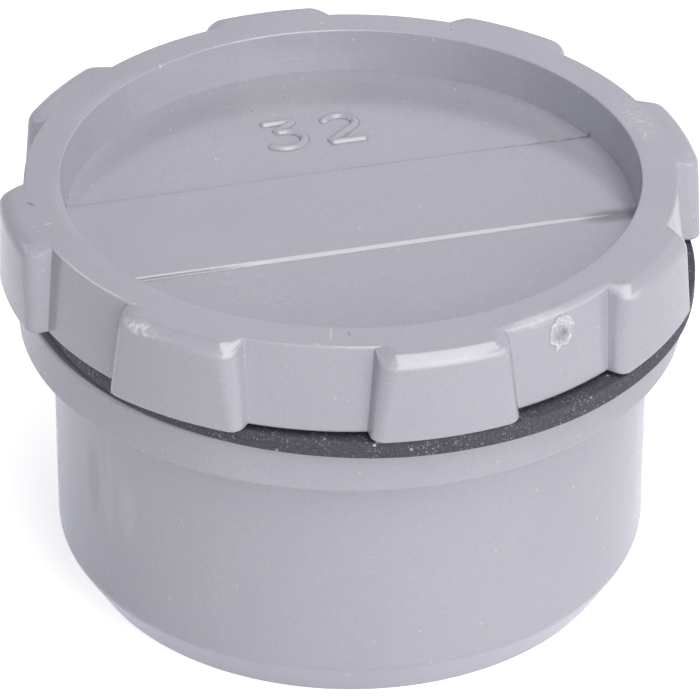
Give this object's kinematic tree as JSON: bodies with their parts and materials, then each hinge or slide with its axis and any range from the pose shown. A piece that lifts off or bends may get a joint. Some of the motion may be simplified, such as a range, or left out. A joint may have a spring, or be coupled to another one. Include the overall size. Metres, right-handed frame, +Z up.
{
  "type": "screw cleanout plug",
  "caption": "Short moulded pipe spigot with a flange, closed by a lugged screw plug on a flat rubber gasket.",
  "frame": {"origin": "centre of the spigot's lower end, on the axis that the pieces share", "axes": "+Z up along the axis, out of the plug's head; +X along the raised bar on the head, through the middle of a lug"},
  "size_m": [0.0376, 0.0376, 0.0232],
  "materials": {
    "body_pvc": "grey moulded PVC-U, satin, lightly dusty, with a flow mark on one side",
    "plug_pvc": "grey moulded PVC-U, satin, with fine scratches and dust in the recess",
    "gasket_rubber": "black EPDM sheet rubber, matt, sprinkled with pale dust"
  },
  "bodies": {
    "spigot": {"spigot_body": "body_pvc"},
    "gasket": {"gasket": "gasket_rubber"},
    "plug": {"screw_plug": "plug_pvc"}
  },
  "joints": [
    {"name": "plug_lift", "type": "slide", "parent": "spigot", "child": "gasket", "axis": [0, 0, 1], "range_m": [0, 0.0075]},
    {"name": "plug_turn", "type": "hinge", "parent": "gasket", "child": "plug", "pos_m": [0, 0, 0.0185], "axis": [0, 0, 1], "range_deg": [0, 900]}
  ],
  "couplings": [
    {"joint": "plug_lift", "follows": "plug_turn", "m_per_rad": 0.00047746}
  ]
}
